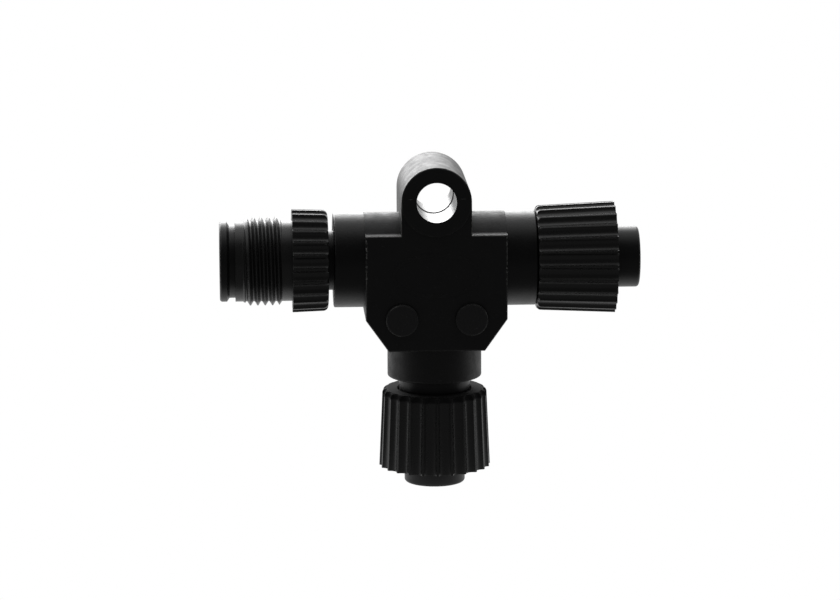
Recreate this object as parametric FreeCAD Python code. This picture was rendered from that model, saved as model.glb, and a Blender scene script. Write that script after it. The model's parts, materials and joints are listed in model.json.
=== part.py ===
import FreeCAD, Part
import math
import os

# Five-pole M12 tee connector: male port left, female ports right and below, mounting eye on top.
# Millimetres, +Z up. X runs along the through line from the male port to the female port, the drop
# port points down, and the front face looks along -Y. The origin is the middle of the mounting
# eye's bore.

V = FreeCAD.Vector

# ---- shared by every piece ----
over = 1.0  # how far a cutting tool runs past the face that it cuts
sink = 0.2  # how far a raised feature is sunk into the moulding that it stands on

# ---- coupling thread shared by the three ports (M12 x 1) ----
thread_major = 12.0
thread_pitch = 1.0
thread_depth = 0.56
thread_flat = 0.14  # width of the crest
thread_foot = 0.92  # width of the rib's foot, under the pitch
thread_sink = 0.08  # how far a rib's foot is sunk into its wall
thread_lead_in = 0.9  # the thread fades in over this length at the open end
thread_run_in = 0.4
thread_trim_gap = 0.02  # keeps the trimming shape clear of the rib's crest
thread_clearance = 0.06  # extra radius inside the nuts

# ---- moulded body ----
body_width = 19.1  # along X, without the bosses
boss_step = 0.8  # boss diameter over the thread
body_depth_step = 0.5  # body's depth along Y over the boss
barrel_step = 0.12  # rounded top of the body over the boss
shelf_height = 4.4  # top of the front plate above the run axis
body_drop = 11.5  # bottom of the front plate below the run axis
corner_height = 4.3  # the two cut lower corners
corner_width = 3.05
run_boss_length = 4.15
drop_boss_length = 4.55
boss_edge = 0.2
plate_edge = 0.3
oval_width = 11.9  # shallow oval frame on the front
oval_height = 6.0
oval_line = 0.35
oval_proud = 0.06
oval_below_axis = 1.05

# ---- mounting eye ----
eye_rise = 2.44  # bore's middle above the top of the barrel
eye_bore = 5.4
eye_wall = 2.05
eye_proud = 0.3  # ring face in front of the body's faces
eye_edge = 0.3

# ---- contacts and bus strips ----
pole_count = 5
contact_wall = 0.78  # plastic between a socket and the outside of the nose
strip_thickness = 0.5
strip_height = 1.0
strip_inset = 0.2  # strip end to the bottom of the tail's slot
tail_diameter = 1.4
tail_length = 2.0
tail_slot = 1.8
collar_diameter = 2.0
collar_length = 0.8
collar_setback = 2.5  # pin collar's start behind the shroud's floor
pin_diameter = 1.0
pin_tip_inset = 1.5  # pin tip behind the shroud's rim
pin_nose = 0.3
socket_diameter = 1.7
socket_bore = 1.1
socket_depth = 8.0
socket_slot = 0.25
socket_slot_depth = 4.0
socket_recess = 0.5
entry_diameter = 1.3
entry_chamfer = 0.25

# ---- inner pre-mould ----
core_wall = 1.4  # core beyond the contact circle
post_diameter = 4.4
post_spacing = 9.4
post_below_axis = 7.1
post_proud = 0.6
post_edge = 0.3
post_back_recess = 0.2

# ---- male port, from the sleeve's bore inwards ----
sleeve_wall = 0.42  # sleeve under the thread's root
sleeve_clearance = 0.1
shroud_wall = 0.67
shroud_reach = 15.41  # shroud rim beyond the boss
shroud_floor = 7.0
male_neck_step = 1.79  # shroud diameter over its neck
rim_step = 1.02  # rim diameter over the shroud
rim_flank = 0.35
rim_edge = 0.35
key_width = 1.15
key_height = 0.5
key_setback = 1.0

# ---- female ports ----
drop_seat_out = 0.76  # the drop carrier stands this much further out of its boss
carrier_tail = 5.5  # how deep each carrier reaches in behind its seat
carrier_root_wall = 1.15  # carrier root outside the sockets
carrier_groove_depth = 0.6
carrier_groove_width = 1.2
nose_slack = 0.24  # nose inside a shroud of the same size
nose_reach = 14.08  # nose tip beyond the seat
nose_edge = 0.4
neck_step = 1.44  # neck diameter over the nose
neck_lip_step = 0.2
neck_lip_length = 0.4
flange_catch = 0.2  # flange beyond the nut's web bore, all round
flange_length = 1.2
keyway_width = 1.4
keyway_depth = 0.75
keyway_length = 7.0
seal_seat_step = 0.51  # nose diameter over the seal's seat
seal_width = 1.5
seal_thickness = 1.15
seal_edge = 0.4

# ---- coupling nuts ----
nut_length = 10.7
nut_wall = 0.54  # between the thread's crest and the bottom of a flute, at the shoulder
nut_flare = 0.475  # extra radius at the open end
nut_web = 2.4
nut_web_clearance = 0.15
nut_shoulder = 0.6
nut_thread_length = 6.0
nut_relief_clearance = 0.1
run_nut_gap = 0.1  # seat to nut as it stands
drop_nut_gap = 1.04
nut_end_gap = 0.12  # web to flange with the nut fully out
flute_count = 24
flute_depth = 0.5
ridge_width = 0.28
mouth_chamfer = 0.5

# ---- threaded sleeve ----
sleeve_gap = 0.75  # boss to sleeve as it stands
sleeve_length = 12.55
sleeve_lead = 1.0  # plain end in front of the thread
sleeve_thread_length = 5.3
sleeve_relief = 1.42
sleeve_web = 1.7
sleeve_travel_out = 0.8
sleeve_end_gap = 0.03  # web to the shroud's shoulder with the sleeve fully out
grip_rise = 0.83  # grip's radius over the thread's crest, at the boss
grip_flare = 0.17  # extra radius towards the thread
grip_edge = 0.7

# ---- worked-out sizes ----
boss_diameter = thread_major + boss_step
body_depth = boss_diameter + body_depth_step
barrel_diameter = boss_diameter + barrel_step
half_width = body_width / 2
half_depth = body_depth / 2
barrel_radius = barrel_diameter / 2
boss_radius = boss_diameter / 2
eye_height = barrel_radius + eye_rise
eye_diameter = eye_bore + 2 * eye_wall
thread_root = thread_major / 2 - thread_depth
shroud_diameter = 2 * (thread_root - sleeve_wall - sleeve_clearance)
shroud_bore = shroud_diameter - 2 * shroud_wall
male_neck_diameter = shroud_diameter - male_neck_step
rim_diameter = shroud_diameter + rim_step
nose_diameter = shroud_bore - nose_slack
neck_diameter = nose_diameter + neck_step
neck_lip_diameter = neck_diameter + neck_lip_step
web_bore = neck_lip_diameter + 2 * nut_web_clearance
flange_diameter = web_bore + 2 * flange_catch
seal_seat_diameter = nose_diameter - seal_seat_step
contact_circle = nose_diameter - socket_diameter - 2 * contact_wall
contact_radius = contact_circle / 2
carrier_tail_diameter = contact_circle + socket_diameter + 2 * carrier_root_wall
core_side = contact_circle + 2 * core_wall
core_plate_width = post_spacing + post_diameter
core_plate_drop = post_below_axis + post_diameter / 2
nut_inner_diameter = thread_major + 2 * (thread_clearance + nut_wall + flute_depth)
nut_outer_diameter = nut_inner_diameter + 2 * nut_flare
grip_inner_diameter = thread_major + 2 * grip_rise
grip_outer_diameter = grip_inner_diameter + 2 * grip_flare

# ---- worked-out places, with the run and drop axes crossing at 0,0,0 ----
run_end = half_width + run_boss_length
drop_end = body_drop + drop_boss_length
drop_seat = drop_end + drop_seat_out
contact_turn = math.degrees(math.atan2(1, 2))  # spreads the five circuits evenly across Y
key_turn = contact_turn + 45
flange_start = drop_nut_gap + nut_web + nut_end_gap
flange_end = flange_start + flange_length
shroud_start = sleeve_gap + sleeve_web + sleeve_travel_out + sleeve_end_gap
rim_start = sleeve_gap + sleeve_length + sleeve_travel_out
flute_step = 360 / flute_count


def save(name, shape):
    """Writes one piece, moved so that the eye's bore is at the origin."""
    moved = shape.copy()
    moved.translate(V(0, 0, -eye_height))
    moved.exportStep("parts/" + name + ".step")
    print(name, round(moved.Volume, 2), moved.isValid(), len(moved.Solids))


def box(x0, x1, y0, y1, z0, z1):
    return Part.makeBox(x1 - x0, y1 - y0, z1 - z0, V(x0, y0, z0))


def rod(diameter, z0, z1, u=0.0, v=0.0):
    """Cylinder along local Z from z0 to z1."""
    return Part.makeCylinder(diameter / 2, z1 - z0, V(u, v, z0), V(0, 0, 1))


def turned(points):
    """Solid of revolution about local Z from (radius, z) points."""
    corners = [V(radius, 0, z) for radius, z in points]
    face = Part.Face(Part.makePolygon(corners + corners[:1]))
    return face.revolve(V(0, 0, 0), V(0, 0, 1), 360)


def round_edges(shape, radius, wanted):
    """Fillets the circular edges for which wanted(edge) holds."""
    edges = [edge for edge in shape.Edges if wanted(edge)]
    return shape.makeFillet(radius, edges)


def circle_at(edge, z, diameter):
    """True for a circular edge of this diameter at this height on local Z."""
    if not isinstance(edge.Curve, Part.Circle):
        return False
    low, high = edge.BoundBox.ZMin, edge.BoundBox.ZMax
    return abs(low - z) < 1e-4 and abs(high - z) < 1e-4 and abs(edge.Curve.Radius - diameter / 2) < 1e-4


def fused(shapes):
    first = shapes[0]
    return first.multiFuse(shapes[1:]).removeSplitter()


# A port's own frame has Z outwards from its boss's end face and X along the body's Y.
def port_placement(origin, outward):
    side = V(0, 1, 0)
    up = outward.cross(side)
    turn = FreeCAD.Matrix(
        side.x, up.x, outward.x, origin.x,
        side.y, up.y, outward.y, origin.y,
        side.z, up.z, outward.z, origin.z,
        0, 0, 0, 1,
    )
    return FreeCAD.Placement(turn)


male_port = port_placement(V(-run_end, 0, 0), V(-1, 0, 0))
run_port = port_placement(V(run_end, 0, 0), V(1, 0, 0))
drop_port = port_placement(V(0, 0, -drop_seat), V(0, 0, -1))


def at_port(shape, port):
    placed = shape.copy()
    placed.transformShape(port.toMatrix())
    return placed


def pole_place(pole, mirrored):
    """Centre of one contact in its port's frame. A male face mirrors a female one."""
    if pole == pole_count - 1:
        return 0.0, 0.0
    angle = math.radians(contact_turn + 90 * pole)
    u = contact_radius * math.cos(angle)
    v = contact_radius * math.sin(angle)
    return (u, -v) if mirrored else (u, v)


# ---- screw thread ----
def thread_rib(root_radius, crest_radius, start, turns):
    """Helical rib joined from half turns. Its foot is sunk a little into the wall it stands on."""
    half_turn = thread_pitch / 2
    corners = [
        V(root_radius - thread_sink, 0, start - thread_foot / 2),
        V(crest_radius, 0, start - thread_flat / 2),
        V(crest_radius, 0, start + thread_flat / 2),
        V(root_radius - thread_sink, 0, start + thread_foot / 2),
    ]
    section = Part.makePolygon(corners + corners[:1])
    helix = Part.makeHelix(thread_pitch, half_turn, root_radius)
    helix.translate(V(0, 0, start))
    span = Part.Wire(helix.Edges).makePipeShell([section], True, True)
    spans = []
    for index in range(2 * turns):
        placed = span.copy()
        placed.rotate(V(0, 0, 0), V(0, 0, 1), 180 * index)
        placed.translate(V(0, 0, half_turn * index))
        spans.append(placed)
    return spans[0].multiFuse(spans[1:])


def turns_over(length):
    """Whole turns that run a turn past each end of a threaded length."""
    return math.ceil(length / thread_pitch) + 2


# ---- fluted grip ----
def flutes(radius_low, radius_high, z_low, z_high):
    """The concave flutes around a slightly tapered grip."""
    pitch_width = 2 * math.pi * radius_high / flute_count
    half_chord = (pitch_width - ridge_width) / 2
    flute_radius = (half_chord ** 2 + flute_depth ** 2) / (2 * flute_depth)
    slope = (radius_high - radius_low) / (z_high - z_low)
    start = V(radius_low - slope * over - flute_depth + flute_radius, 0, z_low - over)
    end = V(radius_high + slope * over - flute_depth + flute_radius, 0, z_high + over)
    cutter = Part.makeCylinder(flute_radius, (end - start).Length, start, end - start)
    cutters = []
    for index in range(flute_count):
        turned_cutter = cutter.copy()
        turned_cutter.rotate(V(0, 0, 0), V(0, 0, 1), flute_step * (index + 0.5))
        cutters.append(turned_cutter)
    return cutters


# ---- pieces of the ports, each in its port's frame ----
def carrier_root():
    """The part of a carrier that is moulded into the body, with a grip groove."""
    middle = -carrier_tail / 2
    rod_part = rod(carrier_tail_diameter, -carrier_tail, 0)
    half_groove = carrier_groove_width / 2
    groove_outer = rod(carrier_tail_diameter + over, middle - half_groove, middle + half_groove)
    groove_inner = rod(carrier_tail_diameter - 2 * carrier_groove_depth, -carrier_tail, 0)
    groove = groove_outer.cut(groove_inner)
    return rod_part.cut(groove)


def contact_body(diameter, z_low, z_high):
    """Contact shank with its retaining collar and slotted tail."""
    shank = rod(diameter, -carrier_tail, z_high)
    collar = rod(collar_diameter, z_low, z_low + collar_length)
    tail = rod(tail_diameter, -carrier_tail - tail_length, -carrier_tail)
    slot = box(
        -strip_thickness / 2, strip_thickness / 2,
        -tail_diameter, tail_diameter,
        -carrier_tail - tail_length - over, -carrier_tail - tail_length + tail_slot,
    )
    return fused([shank, collar, tail]).cut(slot)


def male_pin():
    tip = shroud_reach - pin_tip_inset
    pin = contact_body(pin_diameter, shroud_floor - collar_setback, tip)
    return round_edges(pin, pin_nose, lambda edge: circle_at(edge, tip, pin_diameter))


def socket_contact():
    top = nose_reach - socket_recess
    socket = contact_body(socket_diameter, flange_start, top)
    bore = rod(socket_bore, top - socket_depth, top + over)
    slot = box(
        -socket_slot / 2, socket_slot / 2,
        -socket_diameter, socket_diameter,
        top - socket_slot_depth, top + over,
    )
    return socket.cut(bore).cut(slot)


def moved_to_pole(shape, pole, mirrored):
    u, v = pole_place(pole, mirrored)
    placed = shape.copy()
    placed.translate(V(u, v, 0))
    return placed


def male_carrier():
    rim_end = shroud_reach
    outline = [
        (0, 0),
        (male_neck_diameter / 2, 0),
        (male_neck_diameter / 2, shroud_start),
        (shroud_diameter / 2, shroud_start),
        (shroud_diameter / 2, rim_start),
        (rim_diameter / 2, rim_start + rim_flank),
        (rim_diameter / 2, rim_end),
        (0, rim_end),
    ]
    shell = fused([turned(outline), carrier_root()])
    shell = round_edges(shell, rim_edge, lambda edge: circle_at(edge, rim_end, rim_diameter))
    shell = shell.cut(rod(shroud_bore, shroud_floor, rim_end + over))
    key = box(
        shroud_bore / 2 - key_height, shroud_bore / 2 + sink,
        -key_width / 2, key_width / 2,
        shroud_floor - sink, rim_end - key_setback,
    )
    key.rotate(V(0, 0, 0), V(0, 0, 1), -key_turn)
    shell = fused([shell, key])
    collar_start = shroud_floor - collar_setback
    for pole in range(pole_count):
        seat = fused([
            rod(pin_diameter, -carrier_tail - over, shroud_floor + over),
            rod(collar_diameter, collar_start, collar_start + collar_length),
        ])
        shell = shell.cut(moved_to_pole(seat, pole, True))
    return shell


def socket_carrier(seat_out):
    """Female insert whose seat stands this far out of its boss, with the neck filling the difference."""
    neck_part = rod(neck_diameter, -seat_out, flange_start)
    lip = rod(neck_lip_diameter, -seat_out, neck_lip_length - seat_out)
    flange = rod(flange_diameter, flange_start, flange_end)
    seat_end = flange_end + seal_width
    seal_seat = rod(seal_seat_diameter, flange_end, seat_end)
    nose = rod(nose_diameter, seat_end, nose_reach)
    carrier = fused([carrier_root(), neck_part, lip, flange, seal_seat, nose])
    carrier = round_edges(carrier, nose_edge, lambda edge: circle_at(edge, nose_reach, nose_diameter))
    keyway = box(
        nose_diameter / 2 - keyway_depth, nose_diameter,
        -keyway_width / 2, keyway_width / 2,
        nose_reach - keyway_length, nose_reach + over,
    )
    keyway.rotate(V(0, 0, 0), V(0, 0, 1), key_turn)
    carrier = carrier.cut(keyway)
    top = nose_reach - socket_recess
    for pole in range(pole_count):
        entry_top = entry_diameter / 2 + entry_chamfer
        seat = fused([
            rod(socket_diameter, -carrier_tail - over, top),
            rod(collar_diameter, flange_start, flange_start + collar_length),
            rod(entry_diameter, top - sink, nose_reach + over),
            Part.makeCone(entry_diameter / 2, entry_top, entry_chamfer, V(0, 0, nose_reach - entry_chamfer)),
        ])
        carrier = carrier.cut(moved_to_pole(seat, pole, False))
    return carrier


def seal_ring():
    inner = seal_seat_diameter / 2
    outline = [
        (inner, flange_end),
        (inner + seal_thickness, flange_end),
        (inner + seal_thickness, flange_end + seal_width),
        (inner, flange_end + seal_width),
    ]
    ring = turned(outline)
    outer = 2 * (inner + seal_thickness)
    top = flange_end + seal_width
    ring = round_edges(ring, seal_edge, lambda edge: circle_at(edge, flange_end, outer))
    return round_edges(ring, seal_edge, lambda edge: circle_at(edge, top, outer))


def coupling_nut():
    """Fluted nut with its shoulder's outer face at Z 0 and its thread open at the far end."""
    inner_radius = nut_inner_diameter / 2
    outer_radius = nut_outer_diameter / 2
    body = Part.makeCone(inner_radius, outer_radius, nut_length)
    body = round_edges(body, nut_shoulder, lambda edge: circle_at(edge, 0, nut_inner_diameter))
    for cutter in flutes(inner_radius, outer_radius, 0, nut_length):
        body = body.cut(cutter)
    minor = 2 * (thread_root + thread_clearance)
    major_radius = thread_major / 2 + thread_clearance
    thread_start = nut_length - nut_thread_length
    body = body.cut(rod(web_bore, -over, nut_length + over))
    body = body.cut(rod(minor, nut_web, nut_length + over))
    body = body.cut(rod(2 * (major_radius + nut_relief_clearance), nut_web, thread_start))
    mouth_radius = major_radius + mouth_chamfer / 2
    mouth_start = V(0, 0, nut_length - mouth_chamfer)
    body = body.cut(Part.makeCone(minor / 2, mouth_radius, mouth_chamfer, mouth_start))
    groove = thread_rib(minor / 2, major_radius, thread_start - thread_pitch, turns_over(nut_thread_length))
    return body.cut(groove)


def threaded_sleeve():
    base = sleeve_gap
    top = sleeve_gap + sleeve_length
    thread_end = top - sleeve_lead
    thread_start = thread_end - sleeve_thread_length
    grip_end = thread_start - sleeve_relief
    root = 2 * thread_root
    grip = Part.makeCone(
        grip_inner_diameter / 2, grip_outer_diameter / 2, grip_end - base, V(0, 0, base), V(0, 0, 1)
    )
    grip = round_edges(grip, grip_edge, lambda edge: circle_at(edge, base, grip_inner_diameter))
    for cutter in flutes(grip_inner_diameter / 2, grip_outer_diameter / 2, base, grip_end):
        grip = grip.cut(cutter)
    barrel = rod(root, grip_end - sink, top)
    turns = turns_over(sleeve_thread_length)
    rib = thread_rib(thread_root, thread_major / 2, thread_start - thread_pitch, turns)
    crest_trim = thread_major / 2 + thread_trim_gap
    envelope = turned([
        (thread_root - 2 * thread_sink, thread_start),
        (thread_root, thread_start),
        (crest_trim, thread_start + thread_run_in),
        (crest_trim, thread_end - thread_lead_in),
        (thread_root, thread_end),
        (thread_root - 2 * thread_sink, thread_end),
    ])
    sleeve = barrel.fuse(rib.common(envelope)).fuse(grip)
    sleeve = sleeve.cut(rod(male_neck_diameter + 2 * sleeve_clearance, base - over, top))
    return sleeve.cut(rod(shroud_diameter + 2 * sleeve_clearance, base + sleeve_web, top + over))


# ---- bus strips: one flat tee per circuit, each in its own plane across Y ----
def bus_strip(pole):
    y, along = pole_place(pole, False)
    half_thick = strip_thickness / 2
    half_high = strip_height / 2
    run_reach = run_end - carrier_tail - tail_length + tail_slot - strip_inset
    drop_reach = drop_seat - carrier_tail - tail_length + tail_slot - strip_inset
    run_bar = box(-run_reach, run_reach, y - half_thick, y + half_thick, along - half_high, along + half_high)
    branch = box(along - half_high, along + half_high, y - half_thick, y + half_thick, -drop_reach, along)
    return fused([run_bar, branch])


def tail_envelopes():
    """Room in the pre-mould for every contact tail."""
    tail = rod(tail_diameter, -carrier_tail - tail_length, -carrier_tail)
    rooms = []
    for port, mirrored in ((male_port, True), (run_port, False), (drop_port, False)):
        for pole in range(pole_count):
            rooms.append(at_port(moved_to_pole(tail, pole, mirrored), port))
    return rooms


def posts(front, back):
    """Locating posts of the pre-mould, from its plate to the two faces of the body."""
    shapes = []
    for side in (-1, 1):
        place = V(side * post_spacing / 2, -front, -post_below_axis)
        post = Part.makeCylinder(post_diameter / 2, front + back, place, V(0, 1, 0))
        shapes.append(post)
    return shapes


def inner_core(strips):
    half = core_side / 2
    run_half = run_end - carrier_tail
    run_block = box(-run_half, run_half, -half, half, -half, half)
    plate = box(-core_plate_width / 2, core_plate_width / 2, -half, half, -core_plate_drop, half)
    drop_block = box(-half, half, -half, half, -(drop_seat - carrier_tail), 0)
    pegs = posts(half_depth + post_proud, half_depth - post_back_recess)
    rounded = []
    for peg in pegs:
        front_rim = [edge for edge in peg.Edges if edge.BoundBox.YMax < -half_depth]
        rounded.append(peg.makeFillet(post_edge, front_rim))
    core = fused([run_block, plate, drop_block] + rounded)
    for shape in strips + tail_envelopes():
        core = core.cut(shape)
    return core


def tee_body(core_envelope, carriers):
    barrel = Part.makeCylinder(barrel_radius, body_width, V(-half_width, 0, 0), V(1, 0, 0))
    outline = [
        V(-half_width, -half_depth, shelf_height),
        V(half_width, -half_depth, shelf_height),
        V(half_width, -half_depth, -body_drop + corner_height),
        V(half_width - corner_width, -half_depth, -body_drop),
        V(-half_width + corner_width, -half_depth, -body_drop),
        V(-half_width, -half_depth, -body_drop + corner_height),
    ]
    plate = Part.Face(Part.makePolygon(outline + outline[:1])).extrude(V(0, body_depth, 0))
    front_and_back = [edge for edge in plate.Edges if edge.BoundBox.YLength < 1e-6]
    plate = plate.makeFillet(plate_edge, front_and_back)
    run_boss = Part.makeCylinder(boss_radius, 2 * run_end, V(-run_end, 0, 0), V(1, 0, 0))
    end_rims = [edge for edge in run_boss.Edges if edge.BoundBox.XLength < 1e-6]
    run_boss = run_boss.makeFillet(boss_edge, end_rims)
    drop_boss = Part.makeCylinder(boss_radius, drop_end, V(0, 0, 0), V(0, 0, -1))
    low_rim = [edge for edge in drop_boss.Edges if edge.BoundBox.ZMax < -drop_end + 1e-4]
    drop_boss = drop_boss.makeFillet(boss_edge, low_rim)
    eye_half = half_depth + eye_proud
    ring = Part.makeCylinder(eye_diameter / 2, 2 * eye_half, V(0, -eye_half, eye_height), V(0, 1, 0))
    ring = ring.makeFillet(eye_edge, [edge for edge in ring.Edges if edge.BoundBox.YLength < 1e-6])
    web = box(-eye_diameter / 2, eye_diameter / 2, -half_depth, half_depth, 0, eye_height)
    body = fused([barrel, plate, run_boss, drop_boss, web, ring, oval_frame()])
    bore_start = V(0, -eye_half - over, eye_height)
    body = body.cut(Part.makeCylinder(eye_bore / 2, 2 * (eye_half + over), bore_start, V(0, 1, 0)))
    for hollow in [core_envelope] + carriers:
        body = body.cut(hollow)
    return body


def oval_frame():
    """Low raised oval line on the front face."""
    front = -half_depth - oval_proud
    centre = V(0, front, -oval_below_axis)
    outer = Part.Ellipse(centre, oval_width / 2, oval_height / 2)
    inner = Part.Ellipse(centre, oval_width / 2 - oval_line, oval_height / 2 - oval_line)
    rings = []
    for ellipse in (outer, inner):
        edge = ellipse.toShape()
        edge.rotate(centre, V(1, 0, 0), 90)
        rings.append(Part.Face(Part.Wire([edge])))
    return rings[0].cut(rings[1]).extrude(V(0, oval_proud + sink, 0))


def main():
    os.makedirs("parts", exist_ok=True)
    strips = [bus_strip(pole) for pole in range(pole_count)]
    core = inner_core(strips)
    # the room for the pre-mould and the carriers, without the holes inside them
    solid_core = inner_core([])
    for room in tail_envelopes():
        solid_core = solid_core.fuse(room)
    roots = [at_port(carrier_root(), port) for port in (male_port, run_port, drop_port)]
    save("tee_body", tee_body(solid_core, roots))
    save("inner_core", core)
    for pole, strip in enumerate(strips):
        save("bus_strip_%d" % (pole + 1), strip)
    pin = male_pin()
    socket = socket_contact()
    for pole in range(pole_count):
        save("pin_%d" % (pole + 1), at_port(moved_to_pole(pin, pole, True), male_port))
        save("run_socket_%d" % (pole + 1), at_port(moved_to_pole(socket, pole, False), run_port))
        save("drop_socket_%d" % (pole + 1), at_port(moved_to_pole(socket, pole, False), drop_port))
    save("pin_carrier", at_port(male_carrier(), male_port))
    seal = seal_ring()
    for name, seat_out, port in (("run", 0, run_port), ("drop", drop_seat_out, drop_port)):
        save(name + "_socket_carrier", at_port(socket_carrier(seat_out), port))
        save(name + "_seal", at_port(seal, port))
    save("threaded_sleeve", at_port(threaded_sleeve(), male_port))
    nut = coupling_nut()
    for name, gap, port in (("run_nut", run_nut_gap, run_port), ("drop_nut", drop_nut_gap, drop_port)):
        placed = nut.copy()
        placed.translate(V(0, 0, gap))
        save(name, at_port(placed, port))


main()
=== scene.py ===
import bpy
import json
import math
import random
from mathutils import Matrix, Vector


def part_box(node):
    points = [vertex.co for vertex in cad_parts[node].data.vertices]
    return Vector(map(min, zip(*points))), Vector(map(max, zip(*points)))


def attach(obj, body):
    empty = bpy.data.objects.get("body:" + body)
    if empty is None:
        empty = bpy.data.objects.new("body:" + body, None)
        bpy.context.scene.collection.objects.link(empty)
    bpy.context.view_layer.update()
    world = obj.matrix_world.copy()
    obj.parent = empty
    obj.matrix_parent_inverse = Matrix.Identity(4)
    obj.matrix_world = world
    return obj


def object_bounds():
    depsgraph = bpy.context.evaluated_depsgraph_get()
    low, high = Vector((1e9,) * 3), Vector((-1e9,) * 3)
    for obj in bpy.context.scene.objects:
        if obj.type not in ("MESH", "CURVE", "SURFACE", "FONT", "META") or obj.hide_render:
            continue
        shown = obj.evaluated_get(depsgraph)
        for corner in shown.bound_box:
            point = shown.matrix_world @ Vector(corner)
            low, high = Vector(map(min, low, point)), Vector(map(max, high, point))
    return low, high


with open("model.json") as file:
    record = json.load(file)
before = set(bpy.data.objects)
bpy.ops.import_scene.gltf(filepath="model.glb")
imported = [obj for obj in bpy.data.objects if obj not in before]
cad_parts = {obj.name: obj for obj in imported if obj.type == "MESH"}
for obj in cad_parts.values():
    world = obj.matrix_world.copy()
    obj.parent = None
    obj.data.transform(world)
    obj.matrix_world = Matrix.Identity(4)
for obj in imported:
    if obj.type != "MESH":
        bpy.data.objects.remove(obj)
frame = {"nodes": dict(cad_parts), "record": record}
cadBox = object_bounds()
nodes = frame["nodes"]
mm = 0.001
print("frame loaded:", len(nodes), "pieces")

sleeveLow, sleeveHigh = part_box("threaded_sleeve")
runAxisZ = (sleeveLow[2] + sleeveHigh[2]) / 2
floorZ = cadBox[0].z

# The block between the three bosses, and the eye on top of it
block = {
    "halfWidth": 9.55 * mm,
    "halfDepth": 6.65 * mm,
    "shelf": 4.4 * mm,  # its top edge, above the run axis
    "edgeRound": 0.3 * mm,
    "webHalfWidth": 4.8 * mm,  # the web up to the eye interrupts the shelf
    "bossStart": 0.02 * mm,  # past the block's side, its finish gives way to the boss's from here
    "bossFull": 0.06 * mm,  # to here
    "eyeBore": 2.7 * mm,
    "eyeFace": 6.95 * mm,
}
shelfZ = runAxisZ + block["shelf"]

# Settings that many nodes share
smooth = {"interpolation_type": "SMOOTHSTEP"}
multiply = {"operation": "MULTIPLY"}
largest = {"operation": "MAXIMUM"}
sizeOnly = {"operation": "ABSOLUTE"}


def linear(code):
    channels = []
    for at in (0, 2, 4):
        value = int(code[at:at + 2], 16) / 255
        channels.append(value / 12.92 if value <= 0.04045 else ((value + 0.055) / 1.055) ** 2.4)
    return (channels[0], channels[1], channels[2], 1.0)


# Adds one node, sets its values and joins its inputs
def addNode(tree, kind, settings=None, inputs=None):
    node = tree.nodes.new(kind)
    for name, value in (settings or {}).items():
        setattr(node, name, value)
    for name, value in (inputs or {}).items():
        if isinstance(value, bpy.types.NodeSocket):
            tree.links.new(value, node.inputs[name])
        else:
            node.inputs[name].default_value = value
    return node


def newMaterial(name):
    material = bpy.data.materials.new(name)
    material.use_nodes = True
    material.node_tree.nodes.clear()
    return material, material.node_tree


# What the moulded plastics share
moulded = {
    "grainShare": 0.35,  # how far the grain stirs the flow's mottled gloss
    "glossLow": 0.35, "glossHigh": 1.0,
    "speckStart": 0.66, "speckFull": 0.80,
    "otherGain": 2.2,  # where the surface is about half changed, the colour is nearly all changed
}


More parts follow.
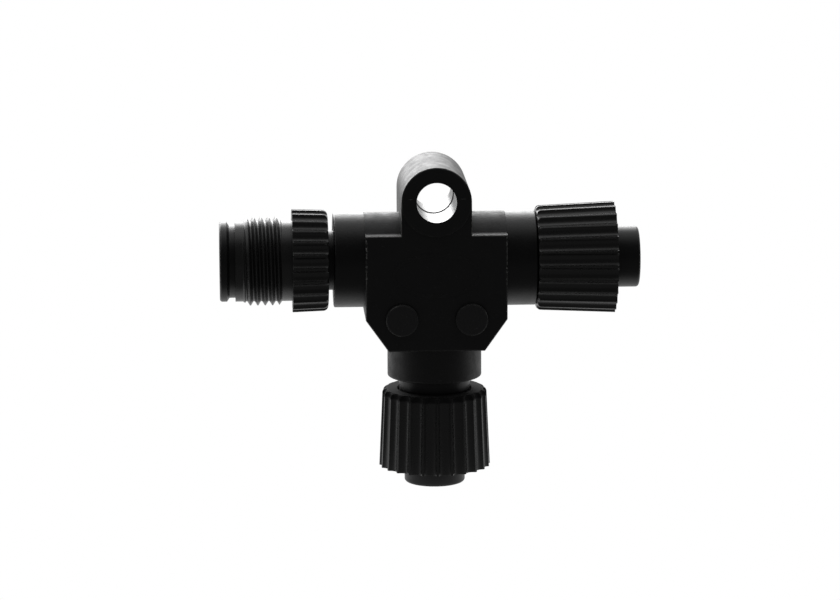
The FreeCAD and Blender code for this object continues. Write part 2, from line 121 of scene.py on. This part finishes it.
# Moulded black plastic. The tool's grain gives the bump, and flow in the tool a mottled gloss.
# scuffAndHighlightWhere says where it is whitened: real scuffs, and a painted highlight in the same pale
# colour. otherWhere says where the look's other colour and roughness go:
# where the tool had another surface, and on the nut's shoulder a painted shade
def mouldedPlastic(name, look, scuffAndHighlightWhere=None, otherWhere=None):
    material, tree = newMaterial(name)
    place = addNode(tree, "ShaderNodeTexCoord").outputs["Object"]
    axes = addNode(tree, "ShaderNodeSeparateXYZ", {}, {"Vector": place})
    grain = addNode(tree, "ShaderNodeTexNoise", {}, {
        "Vector": place, "Scale": 1 / look["grain"], "Detail": 3.0, "Roughness": 0.6}).outputs["Fac"]
    flow = addNode(tree, "ShaderNodeTexNoise", {}, {
        "Vector": place, "Scale": 1 / look["flow"], "Detail": 5.0, "Roughness": 0.65,
        "Distortion": 0.4}).outputs["Fac"]
    uneven = addNode(tree, "ShaderNodeMath", {"operation": "MULTIPLY_ADD"}, {
        0: grain, 1: moulded["grainShare"], 2: flow})
    rough = addNode(tree, "ShaderNodeMapRange", {}, {
        "Value": uneven.outputs["Value"], "From Min": moulded["glossLow"], "From Max": moulded["glossHigh"],
        "To Min": look["roughLow"], "To Max": look["roughHigh"]}).outputs["Result"]
    specks = addNode(tree, "ShaderNodeTexNoise", {}, {
        "Vector": place, "Scale": 1 / look["speck"], "Detail": 1.0})
    specked = addNode(tree, "ShaderNodeMapRange", smooth, {
        "Value": specks.outputs["Fac"], "From Min": moulded["speckStart"], "From Max": moulded["speckFull"]})
    dusty = addNode(tree, "ShaderNodeMath", multiply, {0: specked.outputs["Result"], 1: look["dustiness"]})
    colour = addNode(tree, "ShaderNodeMix", {"data_type": "RGBA"}, {
        "Factor": dusty.outputs["Value"], "A": linear(look["base"]),
        "B": linear(look["dust"])}).outputs["Result"]
    if otherWhere:
        other = otherWhere(tree, axes)
        rough = addNode(tree, "ShaderNodeMix", {"data_type": "FLOAT"}, {
            "Factor": other, "A": rough, "B": look["otherRough"]}).outputs["Result"]
        changed = addNode(tree, "ShaderNodeMath", {"operation": "MULTIPLY", "use_clamp": True}, {
            0: other, 1: moulded["otherGain"]})
        colour = addNode(tree, "ShaderNodeMix", {"data_type": "RGBA"}, {
            "Factor": changed.outputs["Value"], "A": colour, "B": linear(look["other"])}).outputs["Result"]
    # The pale colour goes on real scuffs, and as a painted highlight on the shelf's edge
    if scuffAndHighlightWhere:
        colour = addNode(tree, "ShaderNodeMix", {"data_type": "RGBA"}, {
            "Factor": scuffAndHighlightWhere(tree, place, axes), "A": colour,
            "B": linear(look["scuffAndHighlight"])}).outputs["Result"]
    soft = addNode(tree, "ShaderNodeBevel", {"samples": 4}, {"Radius": look["edge"]})
    bump = addNode(tree, "ShaderNodeBump", {}, {
        "Distance": look["grainDepth"], "Height": grain, "Normal": soft.outputs["Normal"]})
    shader = addNode(tree, "ShaderNodeBsdfPrincipled", {}, {
        "Base Color": colour, "Roughness": rough, "IOR": look["ior"],
        "Specular IOR Level": look["specular"], "Normal": bump.outputs["Normal"]})
    addNode(tree, "ShaderNodeOutputMaterial", {}, {"Surface": shader.outputs["BSDF"]})
    return material


# PVC overmould from a spark-eroded tool: near black head on, and pale where light grazes it
bodyPlastic = {
    # scuffAndHighlight is the pale colour of the scuffs and of the painted shelf highlight
    "base": "1b1b1c", "dust": "5c5c5e", "dustiness": 0.22, "scuffAndHighlight": "b4b4b2",
    "other": "0b0b0c", "otherRough": 0.20,  # on the smooth walls
    "roughLow": 0.34, "roughHigh": 0.62, "ior": 1.5, "specular": 0.5,
    "grain": 0.24 * mm,  # spark-eroded grit of about 0.08 mm, drawn three times coarser so that it shows
    "grainDepth": 0.022 * mm,
    "flow": 1.4 * mm, "speck": 0.3 * mm, "edge": 0.08 * mm,
}


# Whitened scuffs along the block's upright front edges, and a painted highlight along the top edge of its
# shelf, where light catches the bevelled edge
scuffsAndShelfHighlight = {
    "patch": 0.5 * mm,
    "start": 0.30 * mm, "sideFull": 0.08 * mm, "frontFull": 0.10 * mm,  # in from the edge
    "footStart": 3.0 * mm, "footFull": 1.0 * mm,  # below the run axis
    "shelfHighlightStart": 0.22 * mm, "shelfHighlightFull": 0.04 * mm,  # below the shelf's edge
    "webStart": 0.2 * mm,  # in from the web's side
    "uprightPatch": (0.50, 0.62), "shelfHighlightPatch": (0.30, 0.50),  # a patch starts and is full here
    "shelfHighlightShare": 0.8,
}


def blockScuffsAndShelfHighlight(tree, place, axes):
    patches = addNode(tree, "ShaderNodeTexNoise", {}, {
        "Vector": place, "Scale": 1 / scuffsAndShelfHighlight["patch"], "Detail": 4.0, "Roughness": 0.75}).outputs["Fac"]
    sideways = addNode(tree, "ShaderNodeMath", sizeOnly, {0: axes.outputs["X"]}).outputs["Value"]
    wide = block["halfWidth"]
    web = block["webHalfWidth"]
    frontY = -block["halfDepth"]
    # What each mask reads, where it starts and where it is full
    zones = {
        "front": (axes.outputs["Y"], frontY + scuffsAndShelfHighlight["start"], frontY + scuffsAndShelfHighlight["frontFull"]),
        "outer": (sideways, wide - scuffsAndShelfHighlight["start"], wide - scuffsAndShelfHighlight["sideFull"]),
        "inBlock": (sideways, wide + block["bossFull"], wide + block["bossStart"]),
        "upper": (axes.outputs["Z"], runAxisZ - scuffsAndShelfHighlight["footStart"], runAxisZ - scuffsAndShelfHighlight["footFull"]),
        "shelfHighlightEdge": (axes.outputs["Z"], shelfZ - scuffsAndShelfHighlight["shelfHighlightStart"], shelfZ - scuffsAndShelfHighlight["shelfHighlightFull"]),
        "besideWeb": (sideways, web - scuffsAndShelfHighlight["webStart"], web),
        "uprightPatch": (patches, *scuffsAndShelfHighlight["uprightPatch"]),
        "shelfHighlightPatch": (patches, *scuffsAndShelfHighlight["shelfHighlightPatch"]),
    }
    masks = {}
    for name, (value, start, full) in zones.items():
        masks[name] = addNode(tree, "ShaderNodeMapRange", smooth, {
            "Value": value, "From Min": start, "From Max": full}).outputs["Result"]
    upright = masks["outer"]
    for name in ("inBlock", "upper", "uprightPatch"):
        upright = addNode(tree, "ShaderNodeMath", multiply, {0: upright, 1: masks[name]}).outputs["Value"]
    # Painted highlight: a pale band along the shelf's top edge, beside the web, standing in for light caught
    # by the bevelled edge
    level = masks["shelfHighlightEdge"]
    for name in ("besideWeb", "inBlock", "shelfHighlightPatch"):
        level = addNode(tree, "ShaderNodeMath", multiply, {0: level, 1: masks[name]}).outputs["Value"]
    level = addNode(tree, "ShaderNodeMath", multiply, {0: level, 1: scuffsAndShelfHighlight["shelfHighlightShare"]}).outputs["Value"]
    either = addNode(tree, "ShaderNodeMath", largest, {0: upright, 1: level})
    return addNode(tree, "ShaderNodeMath", multiply, {
        0: either.outputs["Value"], 1: masks["front"]}).outputs["Value"]


# The pin that cored the eye's bore was polished, and the round bosses' cavities were turned smooth
smoothZones = {"boreStart": 0.10 * mm, "boreFull": 0.03 * mm, "bossShare": 0.45}


def smoothWalls(tree, axes):
    flat = addNode(tree, "ShaderNodeCombineXYZ", {}, {"X": axes.outputs["X"], "Z": axes.outputs["Z"]})
    reach = addNode(tree, "ShaderNodeVectorMath", {"operation": "LENGTH"}, {0: flat.outputs["Vector"]})
    sideways = addNode(tree, "ShaderNodeMath", sizeOnly, {0: axes.outputs["X"]})
    bore = addNode(tree, "ShaderNodeMapRange", smooth, {
        "Value": reach.outputs["Value"],
        "From Min": block["eyeBore"] + smoothZones["boreStart"],
        "From Max": block["eyeBore"] + smoothZones["boreFull"]})
    boss = addNode(tree, "ShaderNodeMapRange", smooth, {
        "Value": sideways.outputs["Value"], "To Max": smoothZones["bossShare"],
        "From Min": block["halfWidth"] + block["bossStart"],
        "From Max": block["halfWidth"] + block["bossFull"]})
    return addNode(tree, "ShaderNodeMath", largest, {
        0: bore.outputs["Result"], 1: boss.outputs["Result"]}).outputs["Value"]


# Glass-filled nylon from a smooth tool: satin black, with flow lines that change its gloss
nutPlastic = {
    "base": "292929", "dust": "4a4a4c", "dustiness": 0.25,
    # The darker other colour is painted shade on the drop nut's shoulder under the boss
    "other": "101011", "otherRough": 0.95,  # on the dull shoulder
    "roughLow": 0.22, "roughHigh": 0.36, "ior": 1.53, "specular": 0.60,
    "grain": 0.18 * mm, "grainDepth": 0.007 * mm,  # glass fibre read-through, drawn twice as coarse
    "flow": 1.0 * mm, "speck": 0.26 * mm, "edge": 0.06 * mm,
}

# The shoulder round the drop nut's neck came off a rough tool face, so it stays dull. Its darker colour is
# painted shade, where the boss above it shades it
shadedShoulder = {
    "start": 1.0 * mm, "full": 0.6 * mm,  # below the nut's top
    "fullTo": 0.2 * mm, "end": 0.4 * mm,  # above it
}


def shadedDullShoulder(tree, axes):
    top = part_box("drop_nut")[1][2]
    above = addNode(tree, "ShaderNodeMapRange", smooth, {
        "Value": axes.outputs["Z"], "From Min": top - shadedShoulder["start"], "From Max": top - shadedShoulder["full"]})
    below = addNode(tree, "ShaderNodeMapRange", smooth, {
        "Value": axes.outputs["Z"], "From Min": top + shadedShoulder["end"], "From Max": top + shadedShoulder["fullTo"]})
    return addNode(tree, "ShaderNodeMath", multiply, {
        0: above.outputs["Result"], 1: below.outputs["Result"]}).outputs["Value"]


# PBT insert from a smooth tool: even satin black
insertPlastic = {
    "base": "1c1c1d", "dust": "3a3a3c", "dustiness": 0.15,
    "roughLow": 0.30, "roughHigh": 0.42, "ior": 1.55, "specular": 0.38,
    "grain": 0.16 * mm, "grainDepth": 0.004 * mm,
    "flow": 1.2 * mm, "speck": 0.3 * mm, "edge": 0.06 * mm,
}

# PBT pre-mould, raw from a rough tool: a shade lighter and duller than the overmould around it
corePlastic = {
    "base": "303031", "dust": "66666a", "dustiness": 0.35,
    "roughLow": 0.44, "roughHigh": 0.66, "ior": 1.5, "specular": 0.5,
    "grain": 0.28 * mm, "grainDepth": 0.026 * mm,
    "flow": 0.9 * mm, "speck": 0.34 * mm, "edge": 0.08 * mm,
}

# Thin flash and witness lines: the overmould stretched thin, so it whitens
flashPlastic = {
    "base": "8c8c8a", "dust": "bcbcb8", "dustiness": 0.8,
    "roughLow": 0.40, "roughHigh": 0.60, "ior": 1.5, "specular": 0.5,
    "grain": 0.12 * mm, "grainDepth": 0.010 * mm,
    "flow": 0.5 * mm, "speck": 0.16 * mm, "edge": 0.02 * mm,
}

# Gold plated on machined brass: bright and warm, with faint cloudy wipe marks
goldPlate = {
    "light": "d9ad55", "deep": "b98a3a", "roughLow": 0.18, "roughHigh": 0.34,
    "wipe": 0.35 * mm, "stretch": (1.0, 1.0, 1.0),
}

# Bare rolled brass strip: yellower and duller, with rolling lines along its length
rolledBrass = {
    "light": "b8924e", "deep": "8a6a34", "roughLow": 0.28, "roughHigh": 0.48,
    "wipe": 0.08 * mm, "stretch": (0.05, 1.0, 1.0),
}


def wornMetal(name, look):
    material, tree = newMaterial(name)
    place = addNode(tree, "ShaderNodeTexCoord").outputs["Object"]
    drawn = addNode(tree, "ShaderNodeMapping", {}, {"Vector": place, "Scale": look["stretch"]})
    wipe = addNode(tree, "ShaderNodeTexNoise", {}, {
        "Vector": drawn.outputs["Vector"], "Scale": 1 / look["wipe"], "Detail": 3.0}).outputs["Fac"]
    tone = addNode(tree, "ShaderNodeMix", {"data_type": "RGBA"}, {
        "Factor": wipe, "A": linear(look["light"]), "B": linear(look["deep"])})
    rough = addNode(tree, "ShaderNodeMapRange", {}, {
        "Value": wipe, "To Min": look["roughLow"], "To Max": look["roughHigh"]})
    shader = addNode(tree, "ShaderNodeBsdfPrincipled", {}, {
        "Base Color": tone.outputs["Result"], "Metallic": 1.0, "Roughness": rough.outputs["Result"]})
    addNode(tree, "ShaderNodeOutputMaterial", {}, {"Surface": shader.outputs["BSDF"]})
    return material


# Moulded nitrile: black and soft looking, with a slight bloom
nitrile = {
    "base": "141414", "bloom": "2e2e2e", "roughLow": 0.55, "roughHigh": 0.75,
    "grain": 0.12 * mm, "grainDepth": 0.005 * mm, "ior": 1.52,
}


def mouldedRubber(name, look):
    material, tree = newMaterial(name)
    place = addNode(tree, "ShaderNodeTexCoord").outputs["Object"]
    grain = addNode(tree, "ShaderNodeTexNoise", {}, {
        "Vector": place, "Scale": 1 / look["grain"], "Detail": 4.0}).outputs["Fac"]
    tone = addNode(tree, "ShaderNodeMix", {"data_type": "RGBA"}, {
        "Factor": grain, "A": linear(look["base"]), "B": linear(look["bloom"])})
    rough = addNode(tree, "ShaderNodeMapRange", {}, {
        "Value": grain, "To Min": look["roughLow"], "To Max": look["roughHigh"]})
    bump = addNode(tree, "ShaderNodeBump", {}, {"Distance": look["grainDepth"], "Height": grain})
    shader = addNode(tree, "ShaderNodeBsdfPrincipled", {}, {
        "Base Color": tone.outputs["Result"], "Roughness": rough.outputs["Result"],
        "IOR": look["ior"], "Normal": bump.outputs["Normal"]})
    addNode(tree, "ShaderNodeOutputMaterial", {}, {"Surface": shader.outputs["BSDF"]})
    return material


finishes = {
    "body_plastic": mouldedPlastic("grained PVC overmould", bodyPlastic, blockScuffsAndShelfHighlight, smoothWalls),
    "nut_plastic": mouldedPlastic("satin glass-filled nylon", nutPlastic, None, shadedDullShoulder),
    "insert_plastic": mouldedPlastic("smooth PBT insert", insertPlastic),
    "core_plastic": mouldedPlastic("raw PBT pre-mould", corePlastic),
    "contact_gold": wornMetal("gold plated brass", goldPlate),
    "strip_brass": wornMetal("rolled brass strip", rolledBrass),
    "seal_rubber": mouldedRubber("moulded nitrile rubber", nitrile),
}
flashFinish = mouldedPlastic("whitened moulding flash", flashPlastic)
for subpart in frame["record"]["subparts"]:
    shown = nodes[subpart["node"]]
    shown.data.materials.clear()
    shown.data.materials.append(finishes[subpart["material_slot"]])
print("finishes given to", len(nodes), "pieces")


# A low ridge of triangular section along a path, on the moulded body.
# sides and outs are its directions at each point, highs and wides its height and half width there
def ridge(name, path, sides, outs, highs, wides, closed=False, finish=None):
    sunk = 0.02 * mm  # its foot goes this far under the surface
    verts, faces = [], []
    for point, side, out, high, wide in zip(path, sides, outs, highs, wides):
        verts.append(point - side * wide - out * sunk)
        verts.append(point + out * high)
        verts.append(point + side * wide - out * sunk)
    count = len(path)
    for index in range(count if closed else count - 1):
        here, after = 3 * index, 3 * ((index + 1) % count)
        for corner in range(3):
            turned = (corner + 1) % 3
            faces.append((here + corner, here + turned, after + turned, after + corner))
    if not closed:
        faces.append((2, 1, 0))
        faces.append((3 * count - 3, 3 * count - 2, 3 * count - 1))
    data = bpy.data.meshes.new(name)
    data.from_pydata([tuple(vert) for vert in verts], [], faces)
    data.update()
    data.materials.append(finish or flashFinish)
    piece = bpy.data.objects.new(name, data)
    bpy.context.scene.collection.objects.link(piece)
    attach(piece, "tee")


# Ragged pale flash and worn edges along the block's rounded upright front edges. The same pale ridges along
# its shelf edge and the posts' rims are painted highlights
edgeFlash = {
    "high": 0.07 * mm, "least": 0.004 * mm,
    "wide": 0.08 * mm, "narrow": 0.35,  # its share of that width where it's lowest
    "sunk": 0.01 * mm, "step": 0.08 * mm,
    "level": 0.3, "jump": 0.35,  # its first level, and the most it changes in a step
    "taper": 8,  # it fades over an eighth of its length at each end
    "upright": 1.0, "shelfHighlightRidge": 0.4, "postHighlight": 0.35,  # strengths
    "seed": 14,
}


# out points away from the edge, and across runs over it
def raggedLine(name, path, acrosses, outs, strength, seed):
    chance = random.Random(edgeFlash["seed"] + seed)
    highs, wides = [], []
    level = edgeFlash["level"]
    narrow = edgeFlash["narrow"]
    for index in range(len(path)):
        level = min(1.0, max(0.0, level + chance.uniform(-edgeFlash["jump"], edgeFlash["jump"])))
        share = index / (len(path) - 1)
        taper = min(1.0, edgeFlash["taper"] * min(share, 1 - share))
        highs.append(edgeFlash["high"] * strength * level * taper + edgeFlash["least"])
        wides.append(edgeFlash["wide"] * (narrow + (1 - narrow) * level))
    ridge(name, path, acrosses, outs, highs, wides)


def straightEdge(name, start, end, out, across, strength, seed):
    steps = int((end - start).length / edgeFlash["step"])
    # From the sharp corner in to the round edge
    inward = block["edgeRound"] * (math.sqrt(2) - 1) + edgeFlash["sunk"]
    path = [start + (end - start) * index / steps - out * inward for index in range(steps + 1)]
    raggedLine(name, path, [across] * len(path), [out] * len(path), strength, seed)


# Each upright front edge's flash runs from top, below the shelf, to foot, below the run axis
frontEdges = {
    "left": {"side": -1, "top": 3.2 * mm, "foot": 3.4 * mm, "seed": -1, "shelfSeed": 3},
    "right": {"side": 1, "top": 0.5 * mm, "foot": 2.6 * mm, "seed": 1, "shelfSeed": 5},
}
for label, edge in frontEdges.items():
    side = edge["side"]
    sideX = side * block["halfWidth"]
    frontY = -block["halfDepth"]
    straightEdge("edge_flash_" + label,
                 Vector((sideX, frontY, shelfZ - edge["top"])),
                 Vector((sideX, frontY, runAxisZ - edge["foot"])),
                 Vector((side, -1, 0)).normalized(), Vector((side, 1, 0)).normalized(),
                 edgeFlash["upright"], edge["seed"])
    # A pale ridge along the shelf's top edge: a painted highlight where light catches the bevelled edge
    straightEdge("painted_shelf_highlight_" + label,
                 Vector((sideX, frontY, shelfZ)),
                 Vector((side * block["webHalfWidth"], frontY, shelfZ)),
                 Vector((0, -1, 1)).normalized(), Vector((0, 1, 1)).normalized(),
                 edgeFlash["shelfHighlightRidge"], edge["shelfSeed"])

# The two round posts, whose rounded rims carry pale ridges along part of the way round: painted highlights
# where the rim edges reflect the bright surroundings
post = {"radius": 2.2 * mm, "apart": 9.4 * mm, "below": 7.1 * mm, "proud": 0.6 * mm, "edgeRound": 0.3 * mm}


def postRimHighlight(name, side, start, end, seed):
    steps = int(math.radians(end - start) * post["radius"] / edgeFlash["step"])
    middle = Vector((side * post["apart"] / 2, -block["halfDepth"] - post["proud"] + post["edgeRound"],
                     runAxisZ - post["below"]))
    path, acrosses, outs = [], [], []
    for index in range(steps + 1):
        angle = math.radians(start + (end - start) * index / steps)
        spoke = Vector((math.cos(angle), 0, math.sin(angle)))
        out = (spoke - Vector((0, 1, 0))).normalized()
        path.append(middle + spoke * (post["radius"] - post["edgeRound"])
                    + out * (post["edgeRound"] - edgeFlash["sunk"]))
        acrosses.append((spoke + Vector((0, 1, 0))).normalized())
        outs.append(out)
    raggedLine(name, path, acrosses, outs, edgeFlash["postHighlight"], seed)


# Each painted highlight stretch: its post's side, its start and end in degrees up from the right, and its
# seed
postRimHighlights = {
    "post_rim_highlight_left_top": (-1, 95, 205, 21),
    "post_rim_highlight_left_foot": (-1, 225, 265, 22),
    "post_rim_highlight_right": (1, -80, 75, 23),
    "post_rim_highlight_right_top": (1, 95, 150, 24),
}
for name, (side, start, end, seed) in postRimHighlights.items():
    postRimHighlight(name, side, start, end, seed)

# Witness line where the two core pins met, behind the middle of the eye's bore
boreSeam = {"place": 0.7 * mm, "high": 0.10 * mm, "wide": 0.07 * mm, "steps": 96}


def makeBoreSeam():
    steps = boreSeam["steps"]
    angles = [2 * math.pi * step / steps for step in range(steps)]
    spokes = [Vector((math.cos(angle), 0, math.sin(angle))) for angle in angles]
    path = [spoke * block["eyeBore"] + Vector((0, boreSeam["place"], 0)) for spoke in spokes]
    ridge("bore_seam", path, [Vector((0, 1, 0))] * steps, [-spoke for spoke in spokes],
          [boreSeam["high"]] * steps, [boreSeam["wide"]] * steps, True, finishes["body_plastic"])


makeBoreSeam()

# Short witness lines of the tool's split on the eye's front face
faceMark = {
    "inner": 3.15 * mm, "length": 0.72 * mm, "above": 0.5 * mm,
    "high": 0.025 * mm, "wide": 0.035 * mm,
    "blunt": 0.08, "steps": 9,  # blunt keeps its tips from thinning to nothing
}


def makeFaceMark(name, side):
    steps = faceMark["steps"]
    blunt = faceMark["blunt"]
    shares = [step / (steps - 1) for step in range(steps)]
    path = [Vector((side * (faceMark["inner"] + faceMark["length"] * share), -block["eyeFace"],
                    faceMark["above"])) for share in shares]
    thins = [math.sin(math.pi * (blunt + (1 - 2 * blunt) * share)) for share in shares]
    ridge(name, path, [Vector((0, 0, 1))] * steps, [Vector((0, -1, 0))] * steps,
          [faceMark["high"] * thin for thin in thins], [faceMark["wide"] * thin for thin in thins])


makeFaceMark("face_mark_left", -1)
makeFaceMark("face_mark_right", 1)
print("flash and witness lines made")

# Soft light from a bright sweep behind and above, with almost nothing from the front.
# Each pair is where that part of the sky starts and is full, along one axis of the direction
sky = {
    "front": 0.055, "above": 0.75, "behind": 5.2, "rightShare": 0.18,
    "seen": 1.0,  # how bright it looks, whatever light it gives
    "back": (-0.55, 0.25), "high": (0.05, 0.9),
    "sweepDepth": (0.55, 0.97), "sweepHeight": (-0.12, 0.12), "toRight": (0.02, 0.32),
}


def makeWorld():
    world = bpy.data.worlds.new("studio")
    bpy.context.scene.world = world
    world.use_nodes = True
    tree = world.node_tree
    tree.nodes.clear()
    towards = addNode(tree, "ShaderNodeTexCoord").outputs["Generated"]
    axes = addNode(tree, "ShaderNodeSeparateXYZ", {}, {"Vector": towards})
    parts = {}
    for name, axis in (("back", "Y"), ("high", "Z"), ("sweepDepth", "Y"), ("sweepHeight", "Z")):
        start, full = sky[name]
        parts[name] = addNode(tree, "ShaderNodeMapRange", smooth, {
            "Value": axes.outputs[axis], "From Min": start, "From Max": full}).outputs["Result"]
    upward = addNode(tree, "ShaderNodeMath", multiply, {0: parts["back"], 1: parts["high"]})
    overhead = addNode(tree, "ShaderNodeMapRange", {"interpolation_type": "LINEAR"}, {
        "Value": upward.outputs["Value"], "To Min": sky["front"], "To Max": sky["above"]})
    sweep = addNode(tree, "ShaderNodeMath", multiply, {0: parts["sweepDepth"], 1: parts["sweepHeight"]})
    dimmed = addNode(tree, "ShaderNodeMapRange", smooth, {
        "Value": axes.outputs["X"], "From Min": sky["toRight"][0], "From Max": sky["toRight"][1],
        "To Min": 1.0, "To Max": sky["rightShare"]})
    sweep = addNode(tree, "ShaderNodeMath", multiply, {
        0: sweep.outputs["Value"], 1: dimmed.outputs["Result"]})
    sweep = addNode(tree, "ShaderNodeMath", multiply, {0: sweep.outputs["Value"], 1: sky["behind"]})
    total = addNode(tree, "ShaderNodeMath", {"operation": "ADD"}, {
        0: overhead.outputs["Result"], 1: sweep.outputs["Value"]})
    seen = addNode(tree, "ShaderNodeLightPath").outputs["Is Camera Ray"]
    strength = addNode(tree, "ShaderNodeMix", {"data_type": "FLOAT"}, {
        "Factor": seen, "A": total.outputs["Value"], "B": sky["seen"]})
    glow = addNode(tree, "ShaderNodeBackground", {}, {
        "Color": (1, 1, 1, 1), "Strength": strength.outputs["Result"]})
    addNode(tree, "ShaderNodeOutputWorld", {}, {"Surface": glow.outputs["Background"]})


# A glowing table that looks evenly white, but lights the part strongly from behind and weakly from the front
lightTable = {
    "colour": "ffffff", "seen": 1.0, "reach": 3.0, "gap": 0.02 * mm,
    "front": 0.09, "under": 0.72, "behind": 0.75,
    "frontEnd": -18 * mm, "underStart": 4 * mm, "behindFull": 120 * mm,
}


def makeFloor():
    reach = lightTable["reach"]
    data = bpy.data.meshes.new("floor")
    data.from_pydata([(-reach, -reach, 0), (reach, -reach, 0), (reach, reach, 0), (-reach, reach, 0)],
                     [], [(0, 1, 2, 3)])
    floor = bpy.data.objects.new("floor", data)
    floor.location = (0, 0, floorZ - lightTable["gap"])
    bpy.context.scene.collection.objects.link(floor)
    material, tree = newMaterial("white light table")
    place = addNode(tree, "ShaderNodeTexCoord").outputs["Object"]
    depth = addNode(tree, "ShaderNodeSeparateXYZ", {}, {"Vector": place}).outputs["Y"]
    under = addNode(tree, "ShaderNodeMapRange", smooth, {
        "Value": depth, "From Min": lightTable["frontEnd"], "From Max": lightTable["underStart"],
        "To Min": lightTable["front"], "To Max": lightTable["under"]})
    beyond = addNode(tree, "ShaderNodeMapRange", smooth, {
        "Value": depth, "From Min": 0.0, "From Max": lightTable["behindFull"],
        "To Min": 0.0, "To Max": lightTable["behind"] - lightTable["under"]})
    given = addNode(tree, "ShaderNodeMath", {"operation": "ADD"}, {
        0: under.outputs["Result"], 1: beyond.outputs["Result"]})
    seen = addNode(tree, "ShaderNodeLightPath").outputs["Is Camera Ray"]
    strength = addNode(tree, "ShaderNodeMix", {"data_type": "FLOAT"}, {
        "Factor": seen, "A": given.outputs["Value"], "B": lightTable["seen"]})
    glow = addNode(tree, "ShaderNodeEmission", {}, {
        "Color": linear(lightTable["colour"]), "Strength": strength.outputs["Result"]})
    addNode(tree, "ShaderNodeOutputMaterial", {}, {"Surface": glow.outputs["Emission"]})
    data.materials.append(material)


makeWorld()
makeFloor()
print("studio made")

# A long lens from slightly left of the front and a little above
cameraView = {
    "aim": Vector((-1.93, 0.0, -14.57)) * mm,
    "toLeft": 3.02, "above": 11.25, "roll": 0.2,  # degrees
    "distance": 570 * mm, "lens": 179.6, "sensor": 36.0,
    "near": 0.01, "far": 20.0,
}


def makeCamera():
    data = bpy.data.cameras.new("camera")
    data.lens = cameraView["lens"]
    data.sensor_width = cameraView["sensor"]
    data.dof.use_dof = False
    data.clip_start = cameraView["near"]
    data.clip_end = cameraView["far"]
    camera = bpy.data.objects.new("camera", data)
    left, up = math.radians(cameraView["toLeft"]), math.radians(cameraView["above"])
    ahead = Vector((math.sin(left) * math.cos(up), math.cos(left) * math.cos(up), -math.sin(up)))
    level = ahead.to_track_quat("-Z", "Y").to_matrix()
    camera.location = cameraView["aim"] - ahead * cameraView["distance"]
    camera.rotation_mode = "QUATERNION"
    camera.rotation_quaternion = (
        level @ Matrix.Rotation(math.radians(-cameraView["roll"]), 3, "Z")).to_quaternion()
    bpy.context.scene.collection.objects.link(camera)
    bpy.context.scene.camera = camera


makeCamera()
bpy.context.scene.view_settings.view_transform = "Standard"
print("camera set")
